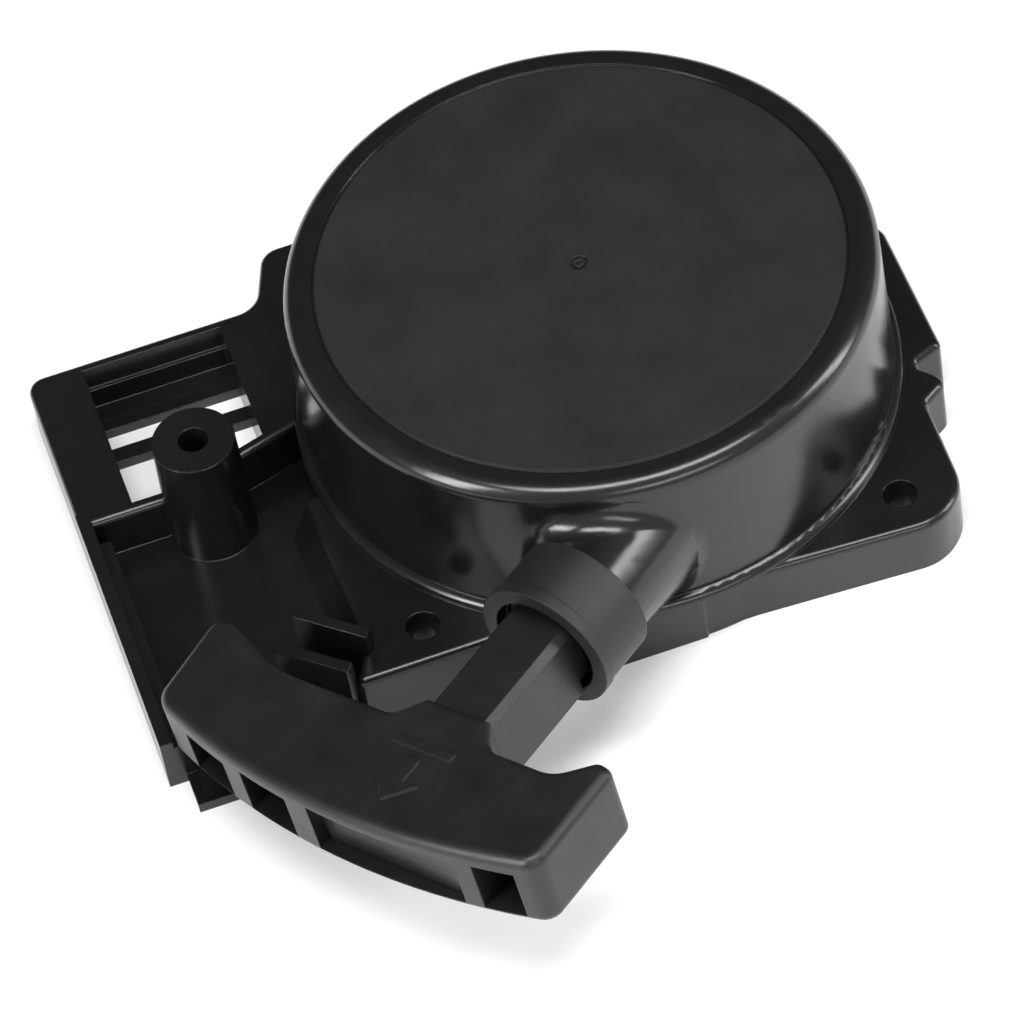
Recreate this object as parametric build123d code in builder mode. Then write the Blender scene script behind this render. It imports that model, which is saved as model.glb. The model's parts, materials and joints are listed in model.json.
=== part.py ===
from build123d import *
import os
from math import atan2, cos, degrees, hypot, pi, radians, sin

# Recoil starter of a small petrol engine, in millimetres.
# Origin: the crank axis where it crosses the engine mounting plane. +Z runs away from the engine.

# ---- housing: drum ----
drum_radius = 50.0
drum_height = 41.5
drum_wall = 2.2
drum_top_thickness = 2.5
drum_draft = 0.7
drum_rim_radius = 3.0
drum_foot_radius = 1.5
face_line_radius = 44.8
face_line_width = 0.5
face_line_depth = 0.3
gate_radius = 1.5
gate_depth = 0.6

# ---- housing: mounting flange, air frame and tray ----
flange_height = 11.0
flange_thickness = 2.2
flange_wall = 2.0
flange_margin = 2.0
flange_edge_radius = 1.2
front_bow = 1.9
bolt_hole_diameter = 5.8
bolt_boss_radius = 5.4
bolt_margin = 8.35
bolt_count = 4
bolt_start_angle = 41.4
rib_thickness = 1.6
frame_reach = 41.5
frame_back = 40.0
frame_front = 4.3
window_left_rim = 9.9
window_right_rim = 6.7
window_wall = 1.8
window_floor = 2.0
window_ledge = 6.7
window_bar_y = 25.1
window_bar_width = 3.2
tray_floor = 2.0
tray_front = -45.5
tray_lip = 7.0
tray_wall = 2.3
tray_ledge = 2.0
tray_ledge_drop = 1.5
ramp_width = 3.6
post_height = 25.2
post_radius = 7.1
post_hole_diameter = 5.2
post_y = 3.2
clip_rib_drop = 8.8
clip_rib_thickness = 2.0
clip_rib_length = 13.6

# ---- rope ----
rope_diameter = 3.5
rope_offset = 32.4
rope_bearing = 216.7
rope_pitch = 3.7
rope_turns = 4
rope_gap = 0.25
rope_hole_clearance = 0.5

# ---- horn, collar and rope guide ----
horn_root_distance = 16.0
horn_root_radius = 9.0
horn_root_drop = 3.0
horn_root_slot = 8.0
horn_end_radius = 10.2
horn_fillet = 4.0
horn_wall = 2.6
collar_reach = 9.1
collar_length = 11.5
collar_wall = 2.35
collar_bead = 0.35
collar_bead_length = 2.2
collar_mouth_step = 0.55
collar_mouth_depth = 2.4
neck_room = 1.0
collar_bore_depth = 10.6
guide_body_radius = 4.2
guide_body_length = 6.0
guide_flange_radius = 6.0
guide_flange_thickness = 1.5

# ---- centre post and its stack ----
centre_post_radius = 7.0
running_clearance = 0.08
end_clearance = 0.3
insert_radius = 3.6
insert_length = 11.0
screw_radius = 2.4
screw_head_radius = 4.6
screw_head_height = 3.2
washer_thickness = 0.8
thrust_washer_radius = 8.4
retainer_radius = 7.2
spacer_radius = 3.8
spacer_length = 5.2
friction_wire = 0.9
friction_coil_radius = 5.6

# ---- rewind spring and its cover ----
spring_strip = 0.5
spring_height = 7.2
spring_clearance = 0.5
spring_turns = 11
spring_outer_gap = 9.0
cover_thickness = 0.8
cover_edge_clearance = 0.4
cover_gap = 1.0
cover_hole_clearance = 1.0
cover_boss_radius = 3.0
cover_boss_inset = 4.0
cover_screw_radius = 1.3
cover_screw_head_radius = 2.6
cover_screw_head_height = 1.6
cover_screw_angles = (20.0, 140.0, 205.0)

# ---- reel ----
reel_flange_thickness = 2.0
reel_flange_lip = 2.3
reel_hub_wall = 3.4

# ---- pawls and guide plate ----
pawl_pivot_inset = 5.5
pawl_pin_radius = 2.0
pawl_thickness = 4.2
pawl_eye_radius = 3.6
pawl_length = 16.0
pawl_tip_radius = 1.0
follower_radius = 1.2
follower_arm = 7.0
follower_clearance = 0.2
pawl_swing = 40.0
plate_turn = 30.0
plate_thickness = 1.4
plate_radius = 21.5
plate_gap = 0.4

# ---- grip ----
grip_roll = -8.0
neck_width = 12.4
neck_chamfer = 1.3
neck_gap = 0.4
neck_plug_clearance = 0.3
keel_depth = 9.1
keel_start = 0.5
keel_fade = 6.0
grip_below = 6.5
grip_above = 7.6
grip_face_tilt = 1.8
grip_edge_radius = 1.8
grip_near = 26.2
grip_far = 47.9
grip_left = 51.3
grip_right = 31.6
grip_floor = 1.4
pocket_depth = 13.0
chamber_height = 10.2
knot_seat = 31.0
cover_setback = 2.7
grip_cover_thickness = 1.6
grip_cover_fit = 0.15
knot_radius = 4.2
knot_length = 6.0
reel_knot_radius = 2.9
reel_knot_length = 4.4
arrow_relief = 0.3

# ---- levels along Z and radii worked out from the sizes above ----
ceiling = drum_height - drum_top_thickness
drum_inner = drum_radius - drum_wall
drum_base = drum_radius + drum_draft
groove_width = rope_diameter + rope_gap * 2
reel_radius = rope_offset + rope_diameter / 2 + reel_flange_lip
reel_core = rope_offset - rope_pitch * rope_turns - rope_diameter / 2 - rope_gap
spring_top = ceiling - spring_clearance
spring_bottom = spring_top - spring_height
cover_top = spring_bottom - spring_clearance
cover_bottom = cover_top - cover_thickness
reel_top = cover_bottom - cover_gap
rope_height = reel_top - reel_flange_thickness - groove_width / 2
reel_bottom = rope_height - groove_width / 2 - reel_flange_thickness
post_end = reel_bottom - end_clearance * 2
reel_hub_radius = centre_post_radius + reel_hub_wall
pawl_pivot_radius = centre_post_radius + pawl_pivot_inset
neck_corner = hypot(neck_width / 2, neck_width / 2 - neck_chamfer)
collar_bore_radius = neck_corner + neck_room
collar_mouth_radius = collar_bore_radius + collar_mouth_step
collar_radius = collar_mouth_radius + collar_wall
neck_plug_radius = collar_bore_radius - neck_plug_clearance
spring_inner = reel_hub_radius + spring_strip + end_clearance
spring_outer = drum_inner - spring_outer_gap
bolt_circle = drum_radius + bolt_margin
collar_back = drum_radius - 2.0
collar_rim = collar_back + collar_length
plate_mid_x = drum_radius + 3.8
left_x = -(drum_radius + frame_reach)
half_depth = drum_radius + flange_margin
post_x = -(drum_radius + 19.3)

# ---- rope line: local X along the pull, local Y away from the crank axis ----
pull = Vector(cos(radians(rope_bearing)), sin(radians(rope_bearing)), 0)
aside = Vector(-pull.Y, pull.X, 0)
rope_foot = aside * rope_offset + Vector(0, 0, rope_height)


def on_rope_line(distance):
    """Plane square to the rope line, this far along the pull from the point nearest the crank."""
    return Plane(origin=rope_foot + pull * distance, x_dir=aside, z_dir=pull)


def turned(radius, angle):
    """Point of the XY plane at this radius and angle."""
    return (radius * cos(radians(angle)), radius * sin(radians(angle)))


# ---- outline of the flange and the air frame, seen from above ----
with BuildSketch() as flange_outline:
    with BuildLine():
        FilletPolyline(
            (left_x, frame_back),
            (left_x, frame_front),
            (-(drum_radius + 25.5), frame_front),
            (-(drum_radius - 0.5), 11.9),
            (-(drum_radius - 6.0), 11.2),
            (-(drum_radius - 6.0), -4.5),
            (-(drum_radius + 4.6), -4.5),
            (-plate_mid_x, -(drum_radius - 12.0)),
            (-(drum_radius + 7.7), -(drum_radius - 4.0)),
            (-24.0, -(drum_radius - 4.0)),
            (-24.0, -half_depth + 0.8),
            (1.0, -half_depth + 0.8),
            (2.0, -half_depth + front_bow),
            (10.0, -half_depth + front_bow),
            (drum_radius - 7.0, -half_depth),
            (drum_radius - 1.0, -half_depth + 6.0),
            (drum_radius - 0.4, -27.0),
            (drum_radius + 5.0, -23.4),
            (drum_radius + 0.3, -18.2),
            (drum_radius + 6.5, -15.8),
            (drum_radius + 6.5, 12.0),
            (drum_radius + 0.5, 28.0),
            (drum_radius + 0.5, drum_radius - 5.0),
            (drum_radius - 6.0, half_depth),
            (-(drum_radius - 5.0), half_depth),
            (-(drum_radius - 0.5), frame_back),
            radius=(3, 0.5, 3, 1, 1, 1, 1.5, 2, 1, 1, 1, 0.3, 0.3, 10, 9, 9, 1.2,
                    2, 1, 1.5, 3, 4, 4, 4, 4, 5),
            close=True,
        )
    make_face()

with BuildSketch() as flange_hollow:
    add(flange_outline.sketch)
    offset(amount=-flange_wall, kind=Kind.INTERSECTION)

# ---- window of the air frame ----
window_left = left_x + window_left_rim
window_right = -(drum_radius + window_right_rim)
window_back = frame_back - flange_wall
window_front = frame_front + flange_wall
with BuildSketch() as window_outline:
    with BuildLine():
        Polyline(
            (window_left, window_back),
            (window_left, window_front),
            (-(drum_radius + 25.2), window_front),
            (window_right, 11.8),
            (window_right, window_back),
            close=True,
        )
    make_face()

with BuildSketch() as rib_pattern:
    with PolarLocations(drum_radius + 15.0, 12, start_angle=15):
        Rectangle(34.0, rib_thickness)
    add(flange_outline.sketch, mode=Mode.INTERSECT)

# ---- drum section: shell, foot and centre post ----
with BuildSketch(Plane.XZ) as drum_section:
    with BuildLine():
        Polyline(
            (0, post_end),
            (centre_post_radius, post_end),
            (centre_post_radius, ceiling),
            (drum_inner, ceiling),
            (drum_base - drum_wall, 0),
            (drum_base, 0),
            (drum_base, flange_height),
            (drum_radius, drum_height),
            (0, drum_height),
            close=True,
        )
    make_face()
    rim_corner = drum_section.vertices().group_by(Axis.Y)[-1].sort_by(Axis.X)[-1]
    fillet(rim_corner, drum_rim_radius)

with BuildSketch(Plane.XZ) as foot_section:
    with BuildLine():
        foot_start = (drum_base - 0.4, flange_height + drum_foot_radius)
        foot_end = (drum_base + drum_foot_radius, flange_height)
        RadiusArc(foot_start, foot_end, drum_foot_radius * 1.1)
        Line(foot_end, (drum_base - 0.4, flange_height))
        Line((drum_base - 0.4, flange_height), foot_start)
    make_face()

# ---- outer form of the drum, with the horn that runs out of it round the rope line ----
with BuildPart() as drum_form:
    with BuildSketch(Plane.XZ) as drum_outline:
        with BuildLine():
            Polyline(
                (0, 0),
                (drum_base, 0),
                (drum_base, flange_height),
                (drum_radius, drum_height),
                (0, drum_height),
                close=True,
            )
        make_face()
        fillet(
            drum_outline.vertices().group_by(Axis.Y)[-1].sort_by(Axis.X)[-1], drum_rim_radius
        )
    revolve(axis=Axis.Z)
    with BuildSketch(on_rope_line(horn_root_distance)):
        with Locations((0, -horn_root_drop)):
            SlotCenterToCenter(horn_root_slot, horn_root_radius * 2, rotation=90)
    with BuildSketch(on_rope_line(collar_back)):
        Circle(horn_end_radius)
    loft()
    fillet(drum_form.edges(Select.NEW), horn_fillet)

# ---- housing: one moulding ----
with BuildPart() as housing:
    add(flange_outline.sketch)
    extrude(amount=flange_height)
    fillet(housing.edges().group_by(Axis.Z)[-1], flange_edge_radius)
    extrude(flange_hollow.sketch, amount=flange_height - flange_thickness, mode=Mode.SUBTRACT)
    # ribs under the flange and bosses round the bolt holes
    with BuildSketch(Plane.XY.offset(flange_height * 0.35)):
        add(rib_pattern.sketch)
    extrude(amount=flange_height * 0.55)
    with BuildSketch():
        with PolarLocations(bolt_circle, bolt_count, start_angle=bolt_start_angle):
            Circle(bolt_boss_radius)
    extrude(amount=flange_height - flange_edge_radius)
    # wall round the window, then the window and the slats across its foot
    with BuildSketch():
        add(window_outline.sketch)
        offset(amount=window_wall, kind=Kind.INTERSECTION)
        add(flange_outline.sketch, mode=Mode.INTERSECT)
    extrude(amount=flange_height - flange_edge_radius)
    extrude(window_outline.sketch, amount=flange_height, mode=Mode.SUBTRACT)
    with BuildSketch():
        with Locations(((window_left + window_right) / 2, window_back - window_ledge / 2)):
            Rectangle(window_right - window_left + 1.0, window_ledge + 0.6)
        with Locations(((window_left + window_right) / 2, window_bar_y)):
            Rectangle(window_right - window_left + 1.0, window_bar_width)
        with Locations((-(drum_radius + 16.0), window_front + 3.5)):
            Rectangle(window_right - window_left + 1.0, 7.6)
        add(flange_outline.sketch, mode=Mode.INTERSECT)
    extrude(amount=window_floor)
    with BuildSketch():
        with Locations(((window_left + window_right) / 2, window_back)):
            Rectangle(window_right - window_left + 1.0, 1.6)
    extrude(amount=flange_height * 0.57)
    # tray: floor with its lip, outer wall with a ledge, end block and the ramp up to the flange
    with BuildSketch():
        with BuildLine():
            Polyline(
                (left_x, frame_front + 0.5),
                (left_x, tray_front),
                (left_x + 3.2, tray_front),
                (left_x + 3.2, tray_front - tray_lip),
                (-(drum_radius + 10.0), tray_front - tray_lip),
                (-(drum_radius + 7.0), -(drum_radius - 4.5)),
                (-plate_mid_x + 0.5, -(drum_radius - 12.0)),
                (-(drum_radius + 3.6), -5.0),
                (-(drum_radius - 1.0), -5.0),
                (-(drum_radius - 1.0), 12.0),
                (-(drum_radius + 25.0), frame_front + 0.5),
                close=True,
            )
        make_face()
    extrude(amount=tray_floor)
    with BuildSketch():
        with Locations((left_x + tray_wall / 2, (frame_front + 3.0 + tray_front) / 2)):
            Rectangle(tray_wall, frame_front + 3.0 - tray_front)
    extrude(amount=flange_height)
    with BuildSketch():
        with Locations((left_x + tray_wall + tray_ledge / 2, (tray_front + 1.0) / 2)):
            Rectangle(tray_ledge + 0.2, -tray_front + 1.0)
        with Locations((left_x + 2.6, tray_front + 1.1)):
            Rectangle(5.2, 2.2)
    extrude(amount=flange_height - tray_ledge_drop)
    with BuildSketch(Plane.XZ.offset(5.0)):
        with BuildLine():
            Polyline(
                (-plate_mid_x + 0.8, 0),
                (-plate_mid_x - ramp_width, 0),
                (-plate_mid_x - ramp_width, tray_floor),
                (-plate_mid_x, flange_height - 0.8),
                (-plate_mid_x + 0.8, flange_height - 0.8),
                close=True,
            )
        make_face()
    extrude(amount=drum_radius - 17.0)
    with BuildSketch():
        for rib_shift in (0.0, 7.4):
            with Locations((-(drum_radius + 8.2) - rib_shift * 0.67, -36.1 - rib_shift * 0.74)):
                Rectangle(clip_rib_length, clip_rib_thickness, rotation=-42)
    extrude(amount=rope_height - clip_rib_drop)
    with BuildSketch():
        with Locations((post_x, post_y)):
            Circle(post_radius + 0.5)
    with BuildSketch(Plane.XY.offset(post_height)):
        with Locations((post_x, post_y)):
            Circle(post_radius)
    loft()
    with Locations((post_x, post_y)):
        Cylinder(
            post_hole_diameter / 2,
            post_height,
            align=(Align.CENTER, Align.CENTER, Align.MIN),
            mode=Mode.SUBTRACT,
        )
    add(drum_form.part)
    with BuildSketch(on_rope_line(collar_back - 0.6)):
        Circle(collar_radius)
    extrude(amount=collar_length + 0.6)
    with BuildSketch(on_rope_line(collar_rim - collar_bead_length)):
        Circle(collar_radius + collar_bead)
    extrude(amount=collar_bead_length)
    # clear the inside of the drum, then add its shell and the centre post
    Cone(
        drum_base - drum_wall / 2,
        drum_inner + drum_wall / 2,
        ceiling + drum_top_thickness / 2,
        align=(Align.CENTER, Align.CENTER, Align.MIN),
        mode=Mode.SUBTRACT,
    )
    add(drum_section.sketch)
    revolve(axis=Axis.Z)
    add(foot_section.sketch)
    revolve(axis=Axis.Z)
    # way for the rope: tunnel, guide seat, stepped bore of the collar
    with BuildSketch(on_rope_line(16.0)):
        Circle(horn_end_radius - horn_wall - 1.4)
    extrude(amount=collar_rim - collar_bore_depth - guide_body_length - 16.0, mode=Mode.SUBTRACT)
    with BuildSketch(on_rope_line(collar_rim - collar_bore_depth - guide_body_length - 1.0)):
        Circle(guide_body_radius)
    extrude(amount=guide_body_length + 2.0, mode=Mode.SUBTRACT)
    with BuildSketch(on_rope_line(collar_rim - collar_bore_depth)):
        Circle(collar_bore_radius)
    extrude(amount=collar_bore_depth + 1.0, mode=Mode.SUBTRACT)
    with BuildSketch(on_rope_line(collar_rim - collar_mouth_depth)):
        Circle(collar_mouth_radius)
    extrude(amount=collar_mouth_depth + 1.0, mode=Mode.SUBTRACT)
    # bosses for the spring cover, peg for the outer end of the spring
    with BuildSketch(Plane.XY.offset(cover_top)):
        for screw_angle in cover_screw_angles:
            with Locations(turned(drum_inner - cover_boss_inset, screw_angle)):
                Circle(cover_boss_radius)
                Circle(cover_screw_radius, mode=Mode.SUBTRACT)
    extrude(amount=ceiling - cover_top + 0.2)
    with BuildSketch(Plane.XY.offset(spring_bottom)):
        with Locations(turned(spring_outer + 3.0, 100)):
            Circle(1.8)
    extrude(amount=ceiling - spring_bottom + 0.2)
    # holes: bolts, insert in the centre post
    with BuildSketch():
        with PolarLocations(bolt_circle, bolt_count, start_angle=bolt_start_angle):
            Circle(bolt_hole_diameter / 2)
    extrude(amount=flange_height, mode=Mode.SUBTRACT)
    with BuildSketch(Plane.XY.offset(post_end)):
        Circle(insert_radius)
    extrude(amount=insert_length + 1.0, mode=Mode.SUBTRACT)
    # closed face of the drum: fine line and the gate mark in the middle
    with BuildSketch(Plane.XY.offset(drum_height - face_line_depth)):
        Circle(face_line_radius + face_line_width / 2)
        Circle(face_line_radius - face_line_width / 2, mode=Mode.SUBTRACT)
    extrude(amount=face_line_depth, mode=Mode.SUBTRACT)
    with BuildSketch(Plane.XY.offset(drum_height - gate_depth)):
        Circle(gate_radius)
        Circle(gate_radius * 0.6, mode=Mode.SUBTRACT)
    extrude(amount=gate_depth, mode=Mode.SUBTRACT)
    with BuildSketch(Plane.XY.offset(drum_height - gate_depth)):
        Circle(gate_radius * 0.3)
    extrude(amount=gate_depth, mode=Mode.SUBTRACT)
housing.part.label = "housing"

# ---- rope guide: flanged steel eyelet in the horn ----
guide_seat = collar_rim - collar_bore_depth
with BuildPart() as rope_guide:
    with BuildSketch(on_rope_line(guide_seat - guide_body_length)):
        Circle(guide_body_radius)
    extrude(amount=guide_body_length)
    with BuildSketch(on_rope_line(guide_seat)):
        Circle(guide_flange_radius)
    extrude(amount=guide_flange_thickness)
    with BuildSketch(on_rope_line(guide_seat - guide_body_length)):
        Circle(rope_diameter / 2 + rope_hole_clearance)
    extrude(amount=guide_body_length + guide_flange_thickness, mode=Mode.SUBTRACT)
    mouth_edges = rope_guide.edges().filter_by(GeomType.CIRCLE).sort_by(SortBy.RADIUS)[:2]
    fillet(mouth_edges, 0.7)
rope_guide.part.label = "rope_guide"

# ---- centre stack: insert, thrust washer, spacer, retainer and screw ----
washer_bottom = post_end - washer_thickness
spacer_bottom = washer_bottom - spacer_length
retainer_bottom = spacer_bottom - washer_thickness
with BuildPart() as post_insert:
    with BuildSketch(Plane.XY.offset(post_end)):
        Circle(insert_radius)
        Circle(screw_radius, mode=Mode.SUBTRACT)
    extrude(amount=insert_length)
post_insert.part.label = "post_insert"

with BuildPart() as thrust_washer:
    with BuildSketch(Plane.XY.offset(washer_bottom)):
        Circle(thrust_washer_radius)
        Circle(screw_radius + running_clearance, mode=Mode.SUBTRACT)
    extrude(amount=washer_thickness)
thrust_washer.part.label = "thrust_washer"

with BuildPart() as spacer_sleeve:
    with BuildSketch(Plane.XY.offset(spacer_bottom)):
        Circle(spacer_radius)
        Circle(screw_radius + running_clearance, mode=Mode.SUBTRACT)
    extrude(amount=spacer_length)
spacer_sleeve.part.label = "spacer_sleeve"

with BuildPart() as retainer_washer:
    with BuildSketch(Plane.XY.offset(retainer_bottom)):
        Circle(retainer_radius)
        Circle(screw_radius + running_clearance, mode=Mode.SUBTRACT)
    extrude(amount=washer_thickness)
retainer_washer.part.label = "retainer_washer"

with BuildPart() as centre_screw:
    with BuildSketch(Plane.XY.offset(retainer_bottom)):
        Circle(screw_radius)
    extrude(amount=washer_thickness * 2 + spacer_length + insert_length - 1.0)
    with BuildSketch(Plane.XY.offset(retainer_bottom - screw_head_height)):
        Circle(screw_head_radius)
    extrude(amount=screw_head_height)
    fillet(centre_screw.edges().group_by(Axis.Z)[0], 0.9)
    with BuildSketch(Plane.XY.offset(retainer_bottom - screw_head_height)):
        RegularPolygon(screw_head_radius * 0.5, 6)
    extrude(amount=screw_head_height * 0.6, mode=Mode.SUBTRACT)
centre_screw.part.label = "centre_screw"

# ---- guide plate level ----
pawl_top = reel_bottom - plate_gap
pawl_bottom = pawl_top - pawl_thickness
plate_top = pawl_bottom - plate_gap
plate_bottom = plate_top - plate_thickness

# ---- friction spring: closed coils between the guide plate and the thrust washer ----
spring_room = washer_bottom - plate_top
friction_turns = 3
friction_pitch = (spring_room - friction_wire - 0.2) / friction_turns
with BuildPart() as friction_spring:
    with BuildLine() as friction_path:
        Helix(
            pitch=friction_pitch,
            height=friction_pitch * friction_turns,
            radius=friction_coil_radius,
            center=(0, 0, plate_top + friction_wire / 2 + 0.1),
        )
    with BuildSketch(Plane(origin=friction_path.line @ 0, z_dir=friction_path.line % 0)):
        Circle(friction_wire / 2)
    sweep(path=friction_path.line)
friction_spring.part.label = "friction_spring"

# ---- pawl geometry: the follower pin runs in a curved slot of the guide plate ----
pocket_angle = rope_bearing + 90 - 360 + 30
pawl_angles = (pocket_angle + 90, pocket_angle + 270)


def follower_place(pawl_angle, share):
    """Follower pin in the guide plate's frame, this share of the way through the swing."""
    swing = radians(pawl_swing * share)
    x = pawl_pivot_radius + follower_arm * sin(swing)
    y = -follower_arm * cos(swing)
    bearing = degrees(atan2(y, x)) + pawl_angle - plate_turn * share
    return turned(hypot(x, y), bearing)


with BuildPart() as guide_plate:
    with BuildSketch(Plane.XY.offset(plate_bottom)):
        Circle(plate_radius)
        Circle(spacer_radius + running_clearance, mode=Mode.SUBTRACT)
        for pawl_angle in pawl_angles:
            slot_line = ThreePointArc(
                follower_place(pawl_angle, -0.04),
                follower_place(pawl_angle, 0.5),
                follower_place(pawl_angle, 1.04),
                mode=Mode.PRIVATE,
            )
            SlotArc(slot_line, 2 * (follower_radius + follower_clearance), mode=Mode.SUBTRACT)
        with PolarLocations(plate_radius * 0.72, 2, start_angle=pocket_angle + 22):
            Circle(2.6, mode=Mode.SUBTRACT)
    extrude(amount=plate_thickness)
guide_plate.part.label = "guide_plate"

pawls = []
for pawl_number, pawl_angle in enumerate(pawl_angles, start=1):
    pawl_frame = Plane(origin=(0, 0, pawl_bottom), x_dir=Vector(*turned(1, pawl_angle), 0))
    with BuildPart() as pawl:
        with BuildSketch(pawl_frame):
            with Locations((pawl_pivot_radius, 0)):
                Circle(pawl_eye_radius)
            with Locations((pawl_pivot_radius, -pawl_length + pawl_tip_radius)):
                Circle(pawl_tip_radius)
            make_hull()
            with Locations((pawl_pivot_radius, 0)):
                Circle(pawl_pin_radius + running_clearance, mode=Mode.SUBTRACT)
        extrude(amount=pawl_thickness)
        with BuildSketch(pawl_frame.offset(-plate_gap - plate_thickness - 0.6)):
            with Locations((pawl_pivot_radius, -follower_arm)):
                Circle(follower_radius)
        extrude(amount=plate_gap + plate_thickness + 0.6 + pawl_thickness / 2)
    pawl.part.label = f"pawl_{pawl_number}"
    pawls.append(pawl)

pin_depth = groove_width + reel_flange_thickness
with BuildPart() as pawl_pins:
    for pawl_angle in pawl_angles:
        with BuildSketch(Plane.XY.offset(pawl_bottom + 0.1)):
            with Locations(turned(pawl_pivot_radius, pawl_angle)):
                Circle(pawl_pin_radius)
        extrude(amount=reel_bottom - pawl_bottom - 0.1 + pin_depth)
pawl_pins.part.label = "pawl_pins"

# ---- rope on the reel: half turns that close in, then a turn inwards to the knot ----
start_angle = degrees(atan2(aside.Y, aside.X))
half_step = rope_pitch / 2
inner_radius = rope_offset - rope_pitch * rope_turns
tuck_radius = 6.0
with BuildLine(Plane.XY.offset(rope_height)) as wound_path:
    for half_turn in range(rope_turns * 2):
        even = half_turn % 2 == 0
        centre = Vector(0, 0, 0) if even else aside * -half_step
        CenterArc(
            (centre.X, centre.Y),
            rope_offset - half_step * half_turn,
            start_angle + (0 if even else 180),
            180,
        )
    tuck_centre = aside * (inner_radius - tuck_radius)
    CenterArc((tuck_centre.X, tuck_centre.Y), tuck_radius, start_angle, 90)
tuck_end = tuck_centre - pull * tuck_radius
knot_start = tuck_end + Vector(0, 0, rope_height)
rope_start = Plane(origin=rope_foot, x_dir=aside, z_dir=pull)
with BuildPart() as rope_wound:
    add(wound_path.line)
    with BuildSketch(rope_start):
        Circle(rope_diameter / 2)
    sweep(path=wound_path.line)
rope_wound.part.label = "rope_wound"

with BuildPart() as reel_knot:
    with BuildSketch(Plane(origin=knot_start, x_dir=pull, z_dir=-aside)):
        Circle(reel_knot_radius)
    extrude(amount=reel_knot_length)
    fillet(reel_knot.edges().filter_by(GeomType.CIRCLE), 1.2)
reel_knot.part.label = "reel_knot"

# ---- reel ----
knot_centre = tuck_end - aside * (reel_knot_length / 2)
with BuildPart() as reel:
    with BuildSketch(Plane.XZ):
        with BuildLine():
            Polyline(
                (centre_post_radius + running_clearance, reel_bottom - end_clearance),
                (centre_post_radius + 2.4, reel_bottom - end_clearance),
                (centre_post_radius + 2.4, reel_bottom),
                (reel_radius, reel_bottom),
                (reel_radius, reel_bottom + reel_flange_thickness),
                (reel_core, reel_bottom + reel_flange_thickness),
                (reel_core, reel_top - reel_flange_thickness),
                (reel_radius, reel_top - reel_flange_thickness),
                (reel_radius, reel_top),
                (reel_hub_radius, reel_top),
                (reel_hub_radius, spring_top),
                (centre_post_radius + running_clearance, spring_top),
                close=True,
            )
        make_face()
    revolve(axis=Axis.Z)
    # pin holes, knot pocket with its rope way, slot for the inner end of the spring
    with BuildSketch(Plane.XY.offset(reel_bottom)):
        for pawl_angle in pawl_angles:
            with Locations(turned(pawl_pivot_radius, pawl_angle)):
                Circle(pawl_pin_radius)
    extrude(amount=pin_depth, mode=Mode.SUBTRACT)
    with BuildSketch(Plane(origin=(knot_centre.X, knot_centre.Y, reel_bottom), x_dir=pull)):
        Rectangle(reel_knot_radius * 2 + 0.6, reel_knot_length + 0.6)
    extrude(amount=rope_height + reel_knot_radius + rope_gap - reel_bottom, mode=Mode.SUBTRACT)
    with BuildLine(Plane.XY.offset(rope_height)) as way_path:
        CenterArc((tuck_centre.X, tuck_centre.Y), tuck_radius, start_angle, 90)
    with BuildSketch(Plane(origin=way_path.line @ 0, z_dir=way_path.line % 0)):
        Circle(rope_diameter / 2 + rope_gap)
    sweep(path=way_path.line, mode=Mode.SUBTRACT)
    with BuildSketch(Plane.XY.offset(reel_top + 0.6)):
        with Locations(turned(reel_hub_radius, 0)):
            Rectangle(5.0, spring_strip + 0.5)
    extrude(amount=spring_top - reel_top, mode=Mode.SUBTRACT)
    with BuildSketch(Plane.XY.offset(reel_top - 1.0)):
        with PolarLocations(reel_core + 10.0, 6, start_angle=15):
            Circle(4.0)
    extrude(amount=1.0, mode=Mode.SUBTRACT)
reel.part.label = "reel"

# ---- rewind spring: half turns that open out, with an end tab each way ----
spring_step = (spring_outer - spring_inner) / (spring_turns * 2)
with BuildPart() as rewind_spring:
    with BuildSketch(Plane.XY.offset(spring_bottom)):
        for half_turn in range(spring_turns * 2):
            even = half_turn % 2 == 0
            coil_radius = spring_inner + spring_step * half_turn
            with BuildLine():
                shift = 0 if even else -spring_step
                begin = 0 if even else 180
                inner_arc = CenterArc((shift, 0), coil_radius - spring_strip / 2, begin, 180)
                outer_arc = CenterArc((shift, 0), coil_radius + spring_strip / 2, begin, 180)
                Line(inner_arc @ 0, outer_arc @ 0)
                Line(inner_arc @ 1, outer_arc @ 1)
            make_face()
        with Locations((spring_inner - 1.2, 0)):
            Rectangle(2.4 + spring_strip, spring_strip)
    extrude(amount=spring_height)
rewind_spring.part.label = "rewind_spring"

# ---- spring cover and its screws ----
with BuildPart() as spring_cover:
    with BuildSketch(Plane.XY.offset(cover_bottom)):
        Circle(drum_inner - cover_edge_clearance)
        Circle(reel_hub_radius + cover_hole_clearance, mode=Mode.SUBTRACT)
        for screw_angle in cover_screw_angles:
            with Locations(turned(drum_inner - cover_boss_inset, screw_angle)):
                Circle(cover_screw_radius, mode=Mode.SUBTRACT)
    extrude(amount=cover_thickness)
spring_cover.part.label = "spring_cover"

with BuildPart() as cover_screws:
    for screw_angle in cover_screw_angles:
        screw_place = turned(drum_inner - cover_boss_inset, screw_angle)
        with BuildSketch(Plane.XY.offset(cover_bottom)):
            with Locations(screw_place):
                Circle(cover_screw_radius)
        extrude(amount=ceiling - cover_bottom - 0.5)
        with BuildSketch(Plane.XY.offset(cover_bottom - cover_screw_head_height)):
            with Locations(screw_place):
                Circle(cover_screw_head_radius)
                Rectangle(3.0, 0.7, rotation=screw_angle, mode=Mode.SUBTRACT)
                Rectangle(0.7, 3.0, rotation=screw_angle, mode=Mode.SUBTRACT)
        extrude(amount=cover_screw_head_height)
cover_screws.part.label = "cover_screws"

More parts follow.
